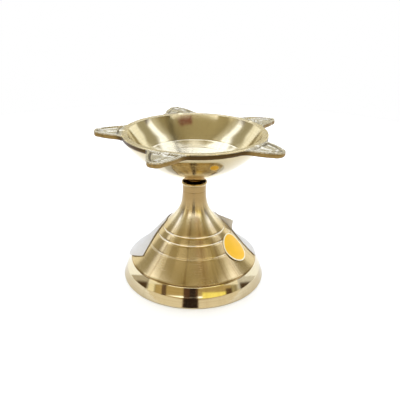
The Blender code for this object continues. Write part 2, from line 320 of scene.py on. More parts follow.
BRASS = (0.70, 0.62, 0.42)
BRASS_PALE = (0.62, 0.565, 0.42)
BRASS_CONE = (0.58, 0.46, 0.25)
# Pale colour for painted highlights and painted reflections
BRASS_PAINTED_HIGHLIGHT = (0.96, 0.91, 0.76)
# Dark brass for lathe lines and streaks, and for painted shade
BRASS_DARK_AND_PAINTED_SHADE = (0.30, 0.19, 0.07)
BRASS_LEDGE = (0.72, 0.60, 0.34)
# Brown of the mould in hollows and stains, also used for the painted shade on the rim's side and in
# the recess
MOULD_BROWN_AND_PAINTED_SHADE = (0.055, 0.03, 0.01)
TARNISH = (0.36, 0.20, 0.12)
# Underside: a saturated gold centre painted as the reflection of the stand, and a paler outer part
# painted as the reflection of the floor
UNDERSIDE_PAINTED_GOLD_REFLECTION, UNDERSIDE_PAINTED_FLOOR_REFLECTION = (0.96, 0.71, 0.27), (0.56, 0.475, 0.30)
# The recess: dark brown as painted shade
# The rim's side: the cast's own brown, darkened further as painted shade
RIM_BROWN_AND_PAINTED_SHADE, RECESS_PAINTED_SHADE = (0.34, 0.22, 0.075), (0.16, 0.10, 0.05)
STEEL = (0.55, 0.54, 0.52)
YELLOW, STICKER_BORDER = (0.90, 0.53, 0.025), (0.88, 0.84, 0.66)
LABEL_WHITE, LABEL_EDGE = (0.84, 0.85, 0.87), (0.8, 0.8, 0.8)
# The label's glue side: warm near-white, partly the glue's own tint and partly painted light that
# makes up for the shade on the peeled corner
GLUE_WITH_PAINTED_LIGHT, GLUE_EDGE_WITH_PAINTED_LIGHT = (0.97, 0.93, 0.84), (0.95, 0.89, 0.76)
FLOOR_COLOUR = (0.93, 0.95, 0.98, 1)

# How fine each kind of unevenness is, as a noise texture's scale
COARSE_LINES, FINE_LINES = 900.0, 4200.0
BLOTCHES, SPECKS, STREAKS = 90.0, 1400.0, 9.0
PITS, PATCHES = 1300.0, 260.0
FIBRES, CLOUDS = 2600.0, 240.0
# How a lathe line's place along the profile follows from height and radius
STAND_SLOPES, BOWL_SLOPES = "SUBTRACT", "ADD"


def object_place(shader):
    return shader.add("ShaderNodeTexCoord").outputs["Object"]


def below_zero(shader, value):
    """How far a number is below 0, and 0 where it isn't."""
    return shader.maths("MAXIMUM", shader.maths("MULTIPLY", value, -1.0), 0.0)


def turned_brass(
    name, slopes, colour, roughness, line_depth, anisotropy, stain, streak=0.0, painted_pale=BRASS_PAINTED_HIGHLIGHT
):
    """Brass off the lathe: rings of fine lines, uneven polish, faint stains, dark grooves.

    The patina and painted light stored on the mesh: above 0 they darken it, as patina and as painted
    shade; below 0 they mix in a pale colour as painted highlights and painted reflections.
    """
    material, shader = new_material(name)
    place = object_place(shader)
    x, y, z = shader.split(place)
    squares = shader.maths("MULTIPLY", x, x), shader.maths("MULTIPLY", y, y)
    radius = shader.maths("SQRT", shader.maths("ADD", *squares))
    along = shader.maths(slopes, z, radius)
    coarse = shader.noise_line(along, COARSE_LINES)
    fine = shader.noise_line(along, FINE_LINES)
    both = shader.maths("MULTIPLY", coarse, 0.4), shader.maths("MULTIPLY", fine, 0.6)
    lines = shader.maths("ADD", *both)
    blotches = shader.noise(place, BLOTCHES, 4.0)
    specks = shader.noise(place, SPECKS, 2.0)
    round_axis = shader.add("ShaderNodeVectorMath", {"operation": "NORMALIZE"})
    shader.plug(round_axis.inputs[0], shader.add("ShaderNodeCombineXYZ", None, X=x, Y=y).outputs[0])
    streaks = shader.noise(round_axis.outputs[0], STREAKS, 5.0, 0.7)
    duller = tuple(c * 0.95 for c in colour)
    tone = shader.mix(shader.ramp_between(blotches, 0.35, 0.75), colour, duller)
    tone = shader.mix(shader.ramp_between(streaks, 0.5, 0.68, 0.0, streak), tone, BRASS_DARK_AND_PAINTED_SHADE)
    tone = shader.mix(shader.ramp_between(lines, 0.35, 0.7, 0.0, 0.14), tone, BRASS_DARK_AND_PAINTED_SHADE)
    tone = shader.mix(shader.ramp_between(specks, 0.70, 0.82, 0.0, stain), tone, TARNISH)
    patina_and_painted_light = shader.attribute("patina_and_painted_light")
    # Above 0 the stored value darkens the brass, as patina and as painted shade; below 0 it mixes in a
    # pale colour as painted highlights and painted reflections.
    tone = shader.mix(shader.maths("MAXIMUM", patina_and_painted_light, 0.0), tone, BRASS_DARK_AND_PAINTED_SHADE)
    tone = shader.mix(below_zero(shader, patina_and_painted_light), tone, painted_pale)
    uneven = shader.ramp_between(blotches, 0.3, 0.8, roughness * 0.8, roughness * 1.25)
    polish = shader.maths("ADD", uneven, shader.ramp_between(lines, 0.3, 0.8, 0.0, 0.06))
    bump = shader.add("ShaderNodeBump", None, Height=lines, Strength=1.0, Distance=line_depth)
    surface = shader.add("ShaderNodeBsdfPrincipled", None, Metallic=1.0, Anisotropic=anisotropy)
    shader.plug(surface.inputs["Base Color"], tone)
    shader.plug(surface.inputs["Roughness"], polish)
    shader.plug(surface.inputs["Normal"], bump.outputs["Normal"])
    if anisotropy:
        shader.plug(surface.inputs["Anisotropic Rotation"], 0.25)
        tangent = shader.add("ShaderNodeTangent", {"direction_type": "RADIAL", "axis": "Z"})
        shader.plug(surface.inputs["Tangent"], tangent.outputs["Tangent"])
    finish_material(shader, surface.outputs["BSDF"])
    return material


def cast_brass(name, colour, roughness, grain, stain):
    """Brass as it left the mould: a fine grain, brown in its hollows.

    The patina and painted shade stored on the mesh brown it above 0, as patina in the spouts' hollows
    and as painted shade on the rim's side and in the recess, and give it the ledge's colour below 0.
    """
    material, shader = new_material(name)
    place = object_place(shader)
    pits = shader.noise(place, PITS, 4.0, 0.6)
    patches = shader.noise(place, PATCHES, 4.0, 0.65)
    patina_and_painted_light = shader.attribute("patina_and_painted_light")
    brown_and_painted_shade = shader.maths("MAXIMUM", patina_and_painted_light, shader.ramp_between(patches, 0.52, 0.78, 0.0, stain))
    darker = tuple(c * 0.7 for c in colour)
    tone = shader.mix(shader.ramp_between(pits, 0.3, 0.7), darker, colour)
    tone = shader.mix(below_zero(shader, patina_and_painted_light), tone, BRASS_LEDGE)
    # Browned by patina and stains, and by painted shade on the rim's side and in the recess
    tone = shader.mix(brown_and_painted_shade, tone, MOULD_BROWN_AND_PAINTED_SHADE)
    polish = shader.ramp_between(patches, 0.3, 0.8, roughness * 0.8, roughness * 1.3)
    bump = shader.add("ShaderNodeBump", None, Height=pits, Strength=1.0, Distance=grain)
    surface = shader.add("ShaderNodeBsdfPrincipled", None, Metallic=1.0)
    shader.plug(surface.inputs["Base Color"], tone)
    shader.plug(surface.inputs["Roughness"], polish)
    shader.plug(surface.inputs["Normal"], bump.outputs["Normal"])
    finish_material(shader, surface.outputs["BSDF"])
    return material


def paper(name, colour, edge_colour, roughness, fibre, lets_through=0.0):
    """Paper: fine fibres, a slight unevenness, its edge in another colour, some light let through."""
    material, shader = new_material(name)
    place = object_place(shader)
    fibres = shader.noise(place, FIBRES, 3.0)
    clouds = shader.noise(place, CLOUDS, 2.0)
    duller = tuple(c * 0.95 for c in colour)
    tone = shader.mix(shader.ramp_between(clouds, 0.3, 0.7), duller, colour)
    tone = shader.mix(shader.attribute("edge"), tone, edge_colour)
    bump = shader.add("ShaderNodeBump", None, Height=fibres, Strength=0.4, Distance=fibre)
    surface = shader.add("ShaderNodeBsdfPrincipled")
    surface.inputs["Specular IOR Level"].default_value = 0.35
    shader.plug(surface.inputs["Base Color"], tone)
    polish = shader.ramp_between(fibres, 0.2, 0.8, roughness * 0.9, roughness)
    shader.plug(surface.inputs["Roughness"], polish)
    shader.plug(surface.inputs["Normal"], bump.outputs["Normal"])
    surface = surface.outputs["BSDF"]
    if lets_through:
        through = shader.add("ShaderNodeBsdfTranslucent", None, Color=tone)
        both = shader.add("ShaderNodeMixShader", None, Fac=lets_through)
        shader.plug(both.inputs[1], surface)
        shader.plug(both.inputs[2], through.outputs["BSDF"])
        surface = both.outputs["Shader"]
    finish_material(shader, surface)
    return material


# ---- Bowl ---------------------------------------------------------------------------------
SPOUT_STEP, RIM_STEP = 0.6 * MM, 1.0 * MM  # spacing of the outline's points
BORDER_CROWN = 0.05 * MM  # how much higher the middle of the border is than its edges
PLAIN_LEDGE = (  # radius and height of the ledge and the spouts without their ridges
    (LEDGE_RADIUS, 73.64 * MM),
    (32.6 * MM, 73.7 * MM),
    (34.5 * MM, 73.55 * MM),
    (38.0 * MM, 73.4 * MM),
    (44.0 * MM, 73.6 * MM),
    (48.0 * MM, 73.7 * MM),
)
NEAR_SPOUT = math.radians(30)  # how far to each side a spout's own centre line counts
# Relief on top, by distance in from the outline, with heights in mm
BORDER_STARTS, BORDER_ENDS, BORDER_NARROWER = 0.85 * MM, 2.4 * MM, 1.15 * MM
GROOVE_IN, GROOVE_HALF_WIDTH, GROOVE_HEIGHT = 1.6 * MM, 0.55 * MM, -0.50
RIDGE_IN, RIDGE_HALF_WIDTH, RIDGE_HEIGHT = 2.4 * MM, 0.5 * MM, 0.25
# Relief along a spout's centre line, by distance out from the axis
TONGUE_HALF_WIDTH, TONGUE_HEIGHT = 1.3 * MM, 0.35
TONGUE_FADES, TONGUE_ENDS = 40 * MM, 42.5 * MM
PIT_OUT, PIT_RADIUS, PIT_DEPTH = 43.4 * MM, 0.8 * MM, 0.45
EDGE_ROUND = 0.3 * MM
# Shares of the way from the ledge's start to the outline where the rings get closer
CLOSER_FROM, CLOSEST_FROM = 0.55, 0.94
# The side of the rim: mm below its top edge, and mm in from the outline
RIM_SIDE = ((0.6, 0.0), (1.2, -0.02), (1.8, 0.0), (2.15, 0.12), (2.4, 0.4))
INSIDE, CAST, BAND, UNDERSIDE = range(4)  # material numbers on the bowl


def resample(points, step):
    along = distances_along(points)
    samples = np.linspace(0, along[-1], max(2, round(along[-1] / step)) + 1)
    return np.stack([np.interp(samples, along, points[:, k]) for k in range(points.shape[1])], axis=1)


def spout_outline(reach):
    """The outline of one spout along +X, from its right side round its tip to its left side."""
    tip_start, tip_width = SPOUT_SIDE[-1]
    side = smooth_through(SPOUT_SIDE, 8)
    turn = np.linspace(0, math.pi / 2, 14)[1:]
    ahead = reach - tip_start
    out, aside = tip_start + ahead * np.sin(turn) ** 1.15, tip_width * np.cos(turn) ** 0.9
    nose = np.stack([out, aside], axis=1)
    half = np.vstack([side, nose])
    half[-1, 1] = 0.0
    mirrored = half[:-1] * (1, -1)
    return resample(np.vstack([mirrored, half[::-1]]), SPOUT_STEP)


def bowl_outline():
    """The bowl's outline from above, anticlockwise."""
    points = []
    for i, (angle, reach, _) in enumerate(SPOUTS):
        turn = math.radians(angle)
        local = spout_outline(reach)
        across = np.array([[math.cos(turn), math.sin(turn)], [-math.sin(turn), math.cos(turn)]])
        spout = local @ across
        points.append(spout)
        next_angle, next_reach, _ = SPOUTS[(i + 1) % len(SPOUTS)]
        next_turn = math.radians(next_angle)
        next_start = spout_outline(next_reach)[0]
        start = math.atan2(spout[-1][1], spout[-1][0])
        end = next_turn + math.atan2(next_start[1], next_start[0])
        while end < start:
            end += math.tau
        count = round((end - start) * RIM_RADIUS / RIM_STEP)
        turns = np.linspace(start, end, count + 1)[1:-1]
        points.append(np.stack([np.cos(turns), np.sin(turns)], axis=1) * RIM_RADIUS)
    return np.vstack(points)


def distance_to_outline(points, outline):
    """How far each point is from the closed outline, worked out a batch at a time to save memory."""
    batch = 2000
    starts, ends = outline, np.roll(outline, -1, axis=0)
    along = ends - starts
    lengths = (along**2).sum(axis=1)
    found = np.empty(len(points))
    for first in range(0, len(points), batch):
        part = points[first : first + batch, None, :] - starts[None]
        share = np.clip((part * along).sum(axis=2) / lengths, 0, 1)
        gap = part - share[:, :, None] * along
        found[first : first + batch] = np.sqrt((gap**2).sum(axis=2).min(axis=1))
    return found


def spout_place(points):
    """Each point's distance along and across the nearest spout's centre line, and its droop."""
    turns = np.arctan2(points[:, 1], points[:, 0])
    radii = np.hypot(points[:, 0], points[:, 1])
    along, droop = np.zeros(len(points)), np.zeros(len(points))
    across = np.full(len(points), 1.0)
    for angle, reach, tip_droop in SPOUTS:
        apart = (turns - math.radians(angle) + math.pi) % math.tau - math.pi
        near = abs(apart) < NEAR_SPOUT
        along[near] = (radii * np.cos(apart))[near]
        across[near] = (radii * np.sin(apart))[near]
        droop[near] = tip_droop * smoothstep(RIM_RADIUS, reach, radii[near]) ** 1.5
    return along, across, droop


def border_height(radii):
    """Height of the border's top, which rises from the rim to the spouts."""
    return RIM_Z + (SPOUT_TOP_Z - RIM_Z) * smoothstep(RIM_RADIUS, RIM_RADIUS + 2 * MM, radii)


def top_height(points, outline):
    """Height of the ledge and spouts, and their patina: hollows above 0, the plain ledge below."""
    edge = distance_to_outline(points, outline)
    radii = np.hypot(points[:, 0], points[:, 1])
    along, across, droop = spout_place(points)
    plain = np.interp(radii, *np.array(PLAIN_LEDGE).T)
    top = border_height(radii)
    in_spout = smoothstep(32.5 * MM, 34 * MM, along)
    border = 1 - smoothstep(BORDER_STARTS, BORDER_ENDS - BORDER_NARROWER * in_spout, edge)
    crown = bump_shape(edge - 0.7 * MM, 0.7 * MM) - 1
    height = plain + (top + BORDER_CROWN * crown - plain) * border
    groove = bump_shape(edge - GROOVE_IN, GROOVE_HALF_WIDTH)
    ridge = bump_shape(edge - RIDGE_IN, RIDGE_HALF_WIDTH) * smoothstep(31.3 * MM, 31.7 * MM, radii)
    on_spout = smoothstep(31 * MM, 34 * MM, along)
    groove *= in_spout
    ridge *= in_spout
    tongue = on_spout * bump_shape(across, TONGUE_HALF_WIDTH)
    tongue = tongue * (1 - smoothstep(TONGUE_FADES, TONGUE_ENDS, along))
    pit = np.exp(-(((along - PIT_OUT) / PIT_RADIUS) ** 2) - (across / PIT_RADIUS) ** 2)
    height += (GROOVE_HEIGHT * groove + RIDGE_HEIGHT * ridge) * MM
    height += (TONGUE_HEIGHT * tongue - PIT_DEPTH * pit) * MM - droop
    into_round = np.clip(EDGE_ROUND - edge, 0, None)
    height -= EDGE_ROUND - np.sqrt(np.clip(EDGE_ROUND**2 - into_round**2, 0, None))
    dark = np.clip(0.85 * groove + 0.9 * pit, 0, 1) - 0.8 * (1 - in_spout)
    return height, dark


def bowl_inside():
    """From the middle of the floor to the edge of the turned part."""
    turn = np.linspace(0, math.asin(LEDGE_RADIUS / INSIDE_ARC_RADIUS), 120)
    arc = np.stack([np.sin(turn), -np.cos(turn)], axis=1) * INSIDE_ARC_RADIUS + (0, INSIDE_ARC_Z)
    rings = [(59.8 * MM, 0.3 * MM, 0.04 * MM), (62.8 * MM, 0.3 * MM, 0.05 * MM)]
    return with_grooves(arc, 1.6 * MM, rings)


def bowl_underside():
    body = bezier(
        (BODY_RADIUS, RIM_Z - RIM_BAND - 0.2 * MM),
        BODY_HANDLE_HIGH,
        BODY_HANDLE_LOW,
        (BOSS_RADIUS + 1.2 * MM, BODY_BOTTOM_Z),
        16,
    )
    boss_end = STAND_HEIGHT - RECESS_DEPTH + GAP
    boss = [
        (BOSS_RADIUS + 0.5 * MM, BODY_BOTTOM_Z - 0.1 * MM),
        (BOSS_RADIUS + 0.1 * MM, BODY_BOTTOM_Z - 0.4 * MM),
        (BOSS_RADIUS, BODY_BOTTOM_Z - 0.9 * MM),
        (BOSS_RADIUS, boss_end + 0.3 * MM),
        (BOSS_RADIUS - 0.3 * MM, boss_end),
        (HOLE_RADIUS, boss_end),
        (HOLE_RADIUS, STUD_HIGH.z + GAP),
    ]
    return body, boss


def make_bowl(inside_brass, cast, band, underside_painted_reflection_brass):
    outline = bowl_outline()
    turns = np.arctan2(outline[:, 1], outline[:, 0])
    circle = np.stack([np.cos(turns), np.sin(turns)], axis=1)
    count = len(outline)
    rings, slots, dark = [], [], []

    def ring(radius, height, slot, darkness=0.0):
        rings.append(np.column_stack([circle * radius, np.full(count, height)]))
        slots.append(slot)
        dark.append(np.full(count, darkness))

    def pole(height, slot):
        rings.append(np.array([[0.0, 0.0, height]]))
        slots.append(slot)
        dark.append(np.zeros(1))

    pole(FLOOR_Z, INSIDE)
    for radius, height in bowl_inside()[1:]:
        ring(radius, height, INSIDE)
    inner = circle * (LEDGE_RADIUS + 0.05 * MM)
    coarse = np.linspace(0, CLOSER_FROM, 15)
    closer = np.linspace(CLOSER_FROM, CLOSEST_FROM, 15)[1:]
    closest = np.linspace(CLOSEST_FROM, 1, 6)[1:]
    for share in np.concatenate([coarse, closer, closest]):
        flat = inner + (outline - inner) * share
        height, darkness = top_height(flat, outline)
        rings.append(np.column_stack([flat, height]))
        slots.append(CAST)
        dark.append(darkness)

    _, _, droop = spout_place(outline)
    lean = -outline / np.linalg.norm(outline, axis=1)[:, None]
    radii = np.hypot(*outline.T)
    edge_top = border_height(radii) - droop
    # The rim's side is darkened to near black brown between the spouts: partly the cast's own brown,
    # mostly painted shade for the dark things it mirrors.
    for drop, inset in RIM_SIDE:
        rings.append(np.column_stack([outline + lean * inset * MM, edge_top - drop * MM]))
        slots.append(BAND)
        dark.append(0.92 - 0.72 * smoothstep(RIM_RADIUS, RIM_RADIUS + 4 * MM, radii))
    last = rings[-1]
    body, boss = bowl_underside()
    root_z = RIM_Z - RIM_BAND - 0.05 * MM
    root = np.column_stack([circle * (BODY_RADIUS + 0.05 * MM), np.full(count, root_z)])
    # Under the rim the side is darkened as well: painted shade.
    for share in (0.34, 0.67, 1.0):
        rings.append(last + (root - last) * share)
        slots.append(BAND)
        dark.append(np.full(count, 0.8))
    # The underside turns paler towards the rim: a painted reflection of the floor.
    for radius, height in body:
        ring(radius, height, UNDERSIDE, -smoothstep(17 * MM, 25 * MM, radius))
    # The boss and its hole are darkened: painted shade, where the boss sits down in the recess.
    for radius, height in boss:
        ring(radius, height, UNDERSIDE, 0.5)
    pole(STUD_HIGH.z + GAP, UNDERSIDE)

    bowl = lofted("bowl", rings, slots)
    for material in (inside_brass, cast, band, underside_painted_reflection_brass):
        bowl.data.materials.append(material)
    set_values(bowl, "patina_and_painted_light", np.concatenate(dark))
    bowl.data.set_sharp_from_angle(angle=math.radians(38))
    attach(bowl, "bowl")
    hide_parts("lamp_bowl")


# ---- Stand --------------------------------------------------------------------------------
TURNED_STEPS = 288
CONE_LENGTH = math.hypot(CONE_FOOT[0] - CONE_TOP[0], CONE_TOP[1] - CONE_FOOT[1])
CONE_SINE = (CONE_FOOT[0] - CONE_TOP[0]) / CONE_LENGTH
CONE_COSINE = (CONE_TOP[1] - CONE_FOOT[1]) / CONE_LENGTH
APEX_TO_CONE_TOP = CONE_TOP[0] / CONE_SINE
CONE, FOOT_BAND, HOLLOW, RECESS = range(4)  # material numbers on the stand


def cone_profile(slant, lift=0.0):
    """Radius and height at a distance down the slightly hollow slope, and a height off it."""
    share = np.clip(slant / CONE_LENGTH, 0, 1)
    lift = lift - CONE_HOLLOW * share**2 * (1 - share) * 27 / 4
    radius = CONE_TOP[0] + slant * CONE_SINE + lift * CONE_COSINE
    height = CONE_TOP[1] - slant * CONE_COSINE + lift * CONE_SINE
    return radius, height


# Pale rings painted on the cone's grooves as highlights
PAINTED_HIGHLIGHT_RINGS = ((25.9 * MM, 0.9), (22.9 * MM, 0.9), (18.0 * MM, 0.35))  # height and how bright


def stand_outside():
    """The outer profile from the recess's edge down to the foot, and the painted light of its middle:
    painted shade on the neck, painted highlights on the flare and the grooves.
    """
    lip = smooth_through(
        [
            (RECESS_RADIUS + 0.05 * MM, STAND_HEIGHT - 0.1 * MM),
            (RECESS_RADIUS + 0.28 * MM, STAND_HEIGHT),
            (LIP_RADIUS, STAND_HEIGHT - 0.45 * MM),
            (LIP_RADIUS - 0.05 * MM, STAND_HEIGHT - 1.0 * MM),
            (NECK_RADIUS, STAND_HEIGHT - LIP_HEIGHT),
        ],
        5,
    )
    drop = NECK_Z - CONE_TOP[1]
    flare = bezier(
        (NECK_RADIUS, NECK_Z),
        (NECK_RADIUS + 0.2 * MM, NECK_Z - 0.5 * drop),
        (CONE_TOP[0] - 0.35 * drop, CONE_TOP[1] + 0.36 * drop),
        CONE_TOP,
        40,
    )
    slope = np.stack(cone_profile(np.linspace(0, CONE_LENGTH - 0.25 * MM, 40)[1:]), axis=1)
    upper = np.vstack([[(NECK_RADIUS, STAND_HEIGHT - LIP_HEIGHT - 0.1 * MM)], flare, slope])
    rings = [
        (45.0 * MM, 0.25 * MM, 0.05 * MM),
        (25.9 * MM, 0.42 * MM, 0.22 * MM),
        (22.9 * MM, 0.42 * MM, 0.22 * MM),
        (18.25 * MM, 0.22 * MM, 0.07 * MM),
        (17.7 * MM, 0.22 * MM, 0.07 * MM),
    ]
    upper = with_grooves(upper, 0.8 * MM, rings)
    heights = upper[:, 1]
    # Painted highlights: pale rings on the grooves and a pale band on the flare. Painted shade: the
    # neck darkened towards its top.
    painted_pale = sum(share * bump_shape(heights - height, 0.3 * MM) for height, share in PAINTED_HIGHLIGHT_RINGS)
    painted_neck_shade = 0.85 * smoothstep(34 * MM, 43 * MM, heights)
    painted_flare_highlight = 0.45 * bump_shape(heights - 33 * MM, 6 * MM)
    painted_shade_and_highlights = painted_neck_shade - painted_flare_highlight
    groove = [
        (CONE_FOOT[0] - 0.15 * MM, CONE_FOOT[1] + 0.05 * MM),
        (CONE_FOOT[0] - 0.45 * MM, CONE_FOOT[1] - 0.2 * MM),
        (CONE_FOOT[0] - 0.15 * MM, CONE_FOOT[1] - 0.5 * MM),
    ]
    band = bezier(
        (CONE_FOOT[0] + 0.05 * MM, CONE_FOOT[1] - 0.65 * MM),
        (CONE_FOOT[0] + 0.7 * MM, CONE_FOOT[1] - 2.2 * MM),
        (FOOT_CREASE[0] - 0.9 * MM, FOOT_CREASE[1] + 1.4 * MM),
        FOOT_CREASE,
        16,
    )
    edge = np.vstack(
        [
            bezier(
                (FOOT_CREASE[0] + 0.05 * MM, FOOT_CREASE[1] - 0.12 * MM),
                (FOOT_CREASE[0] + 0.6 * MM, FOOT_CREASE[1] - 1.5 * MM),
                (FOOT_RADIUS - 0.45 * MM, 1.6 * MM),
                (FOOT_RADIUS - 0.02 * MM, 0.4 * MM),
                12,
            ),
            [
                (FOOT_RADIUS, 0.3 * MM),
                (FOOT_RADIUS - 0.1 * MM, 0.08 * MM),
                (FOOT_RADIUS - 0.3 * MM, 0.0),
            ],
        ]
    )
    return lip, upper, painted_shade_and_highlights - painted_pale, np.array(groove), band, edge


def stand_inside():
    """The hollow under the stand, the stud's hole and the recess under the bowl."""
    inner_foot = CONE_FOOT[0] - 1.5 * STAND_WALL
    hollow = smooth_through(
        [
            (FOOT_INNER_RADIUS, 0.0),
            (FOOT_INNER_RADIUS - 0.3 * MM, 1.5 * MM),
            (inner_foot + 1.2 * MM, 6.4 * MM),
            (inner_foot, CONE_FOOT[1] - 0.3 * MM),
            cone_profile(CONE_LENGTH / 2, -STAND_WALL),
            (CONE_TOP[0] - 1.2 * STAND_WALL, CONE_TOP[1] - 0.6 * MM),
            (CORE_FLOOR[0] + 1.5 * MM, CORE_FLOOR[1] - 0.8 * MM),
            CORE_FLOOR,
        ],
        7,
    )
    bore = [
        (HOLE_RADIUS, CORE_FLOOR[1]),
        (HOLE_RADIUS, STAND_HEIGHT - RECESS_DEPTH),
    ]
    recess = [
        (RECESS_RADIUS - 0.2 * MM, STAND_HEIGHT - RECESS_DEPTH),
        (RECESS_RADIUS, STAND_HEIGHT - RECESS_DEPTH + 0.2 * MM),
        (RECESS_RADIUS, STAND_HEIGHT - 0.5 * MM),
    ]
    return hollow, np.array(bore), np.array(recess)


def make_stand(cone_brass, band_brass, cast, recess_painted_shade_brass):
    lip, upper, upper_painted_light, groove, band, edge = stand_outside()
    hollow, bore, recess = stand_inside()
    parts = (
        (lip, CONE, 0.15),
        (upper, CONE, upper_painted_light),
        (groove, CONE, 0.85),
        (band, FOOT_BAND, 0.0),
        # The foot's edge is darkened a little: painted shade.
        (edge, FOOT_BAND, 0.35),
        (hollow, HOLLOW, 0.2),
        (bore, HOLLOW, 0.5),
        # The recess is darkened: painted shade.
        (recess, RECESS, 0.9),
    )
    profile = np.vstack([points for points, _, _ in parts])
    slots = [slot for points, slot, _ in parts for _ in points]
    dark = np.concatenate([np.broadcast_to(patina_and_painted_light, len(points)) for points, _, patina_and_painted_light in parts])
    rings = [turned_ring(radius, height, TURNED_STEPS) for radius, height in profile]
    stand = lofted("turned_stand", rings, slots, closed=True)
    for material in (cone_brass, band_brass, cast, recess_painted_shade_brass):
        stand.data.materials.append(material)
    set_values(stand, "patina_and_painted_light", np.repeat(dark, TURNED_STEPS))
    stand.data.set_sharp_from_angle(angle=math.radians(40))
    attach(stand, "stand")
    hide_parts("stand")


# ---- Stud ---------------------------------------------------------------------------------
THREAD_STEPS, ROWS_PER_PITCH = 60, 8
STUD_CHAMFER = 0.5 * MM
ROOT_FLAT, FLANKS = 0.08, 0.8  # shares of half a pitch


def make_stud(steel):
    """A rod with a real helical thread: its radius depends on the height along the helix."""
    rows = round((STUD_HIGH.z - STUD_LOW.z) / THREAD_PITCH * ROWS_PER_PITCH)
    heights = np.linspace(STUD_LOW.z, STUD_HIGH.z, rows + 1)
    turn = np.linspace(0, math.tau, THREAD_STEPS, endpoint=False)
    rings = [np.array([[0.0, 0.0, heights[0]]])]
    for height in heights:
        phase = (height / THREAD_PITCH - turn / math.tau) % 1.0
        crest = np.clip((abs(phase - 0.5) * 2 - ROOT_FLAT) / FLANKS, 0, 1)
        end = min(height - heights[0], heights[-1] - height)
        limit = STUD_RADIUS - max(0.0, STUD_CHAMFER - end)
        radius = np.minimum(STUD_RADIUS - THREAD_DEPTH * (1 - crest), limit)
        x, y = radius * np.cos(turn), radius * np.sin(turn)
        rings.append(np.column_stack([x, y, np.full(THREAD_STEPS, height)]))
    rings.append(np.array([[0.0, 0.0, heights[-1]]]))
    stud = lofted("stud", rings, [0] * len(rings))
    stud.data.materials.append(steel)
    stud.data.set_sharp_from_angle(angle=math.radians(40))
    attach(stud, "stud")
    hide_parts("threaded_stud")


# ---- Paper on the cone --------------------------------------------------------------------
STICKER_STEPS = 72
BORDER_WIDTH, BORDER_BLUR = 0.75 * MM, 0.15 * MM
STICKER_OFF_CONE, STICKER_LIFT = 0.08 * MM, 0.45 * MM
LABEL_ROWS, LABEL_COLUMNS = 40, 240
LABEL_OFF_CONE, LABEL_NEAREST, RIPPLE = 0.28 * MM, 0.15 * MM, 0.10 * MM
PEEL_HEIGHT = 3.5 * MM
PEEL_LENGTH, PEEL_WIDTH = 0.16, 0.15  # shares of the label's length and of its width
CORNER_LIFT, NECK_LIFT = 0.35 * MM, 0.3 * MM


def on_cone(angle, slant, lift):
    """Points at angles about Z (radians), distances down the cone's slope, and heights off it."""
    radius, height = cone_profile(slant, lift)
    return np.stack([radius * np.cos(angle), radius * np.sin(angle), height], axis=-1)


def sheet_mesh(name, face, back):
    """A closed thin sheet between two grids of points (rows, columns, 3), with its rim closed."""
    rows, columns = face.shape[:2]
    points = np.vstack([face.reshape(-1, 3), back.reshape(-1, 3)])
    number = np.arange(rows * columns).reshape(rows, columns)
    corners = number[:-1, :-1], number[1:, :-1], number[1:, 1:], number[:-1, 1:]
    quads = np.stack(corners, axis=-1).reshape(-1, 4)
    below = quads[:, ::-1] + rows * columns
    rim = np.concatenate([number[0, :-1], number[:-1, -1], number[-1, :0:-1], number[:0:-1, 0]])
    following = np.roll(rim, -1)
    sides = np.stack([rim, following, following + rows * columns, rim + rows * columns], axis=1)
    faces = np.vstack([quads, below, sides]).tolist()
    mesh = bpy.data.meshes.new(name)
    mesh.from_pydata(points.tolist(), [], faces)
    if signed_volume(points, faces) < 0:
        mesh.flip_normals()
    mesh.shade_smooth()
    mesh.set_sharp_from_angle(angle=math.radians(50))
    made = bpy.data.objects.new(name, mesh)
    bpy.context.scene.collection.objects.link(made)
    set_values(made, "edge", np.zeros(len(points)))
    return made


def make_sticker(yellow):
    """A disc rolled onto the cone without stretching, its lower left edge lifted a little."""
    shares = np.concatenate([np.linspace(0.02, 0.86, 12), [0.885, 0.9, 0.95, 0.985, 1.0]])
    radii = shares * STICKER_RADIUS
    turn = np.linspace(0, math.tau, STICKER_STEPS, endpoint=False)
    across = radii[:, None] * np.cos(turn)
    down = radii[:, None] * np.sin(turn)
    below_apex = APEX_TO_CONE_TOP + STICKER_SLANT + down
    from_apex = np.hypot(below_apex, across)
    angle = math.radians(STICKER_ANGLE) + np.arctan2(across, below_apex) / CONE_SINE
    toward = (-across * 0.8 + down * 0.6) / STICKER_RADIUS
    lift = STICKER_OFF_CONE + STICKER_LIFT * smoothstep(0.55, 1.0, toward)
    dip = 0.02 * MM * smoothstep(0.97, 1.0, radii / STICKER_RADIUS)[:, None]
    face = on_cone(angle, from_apex - APEX_TO_CONE_TOP, lift + PAPER_THICKNESS - dip)
    back = on_cone(angle, from_apex - APEX_TO_CONE_TOP, lift)
    pole_face, pole_back = face[0].mean(axis=0)[None], back[0].mean(axis=0)[None]
    rings = [pole_face, *face, *back[::-1], pole_back]
    sticker = lofted("sticker", rings, [0] * len(rings))
    border_start = STICKER_RADIUS - BORDER_WIDTH
    on_face = np.repeat(smoothstep(border_start, border_start + BORDER_BLUR, radii), STICKER_STEPS)
    on_back = np.ones(len(on_face))
    set_values(sticker, "edge", np.concatenate([[0.0], on_face, on_back, [1.0]]))
    sticker.data.materials.append(yellow)
    sticker.data.set_sharp_from_angle(angle=math.radians(50))
    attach(sticker, "stand")
    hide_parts("round_sticker")


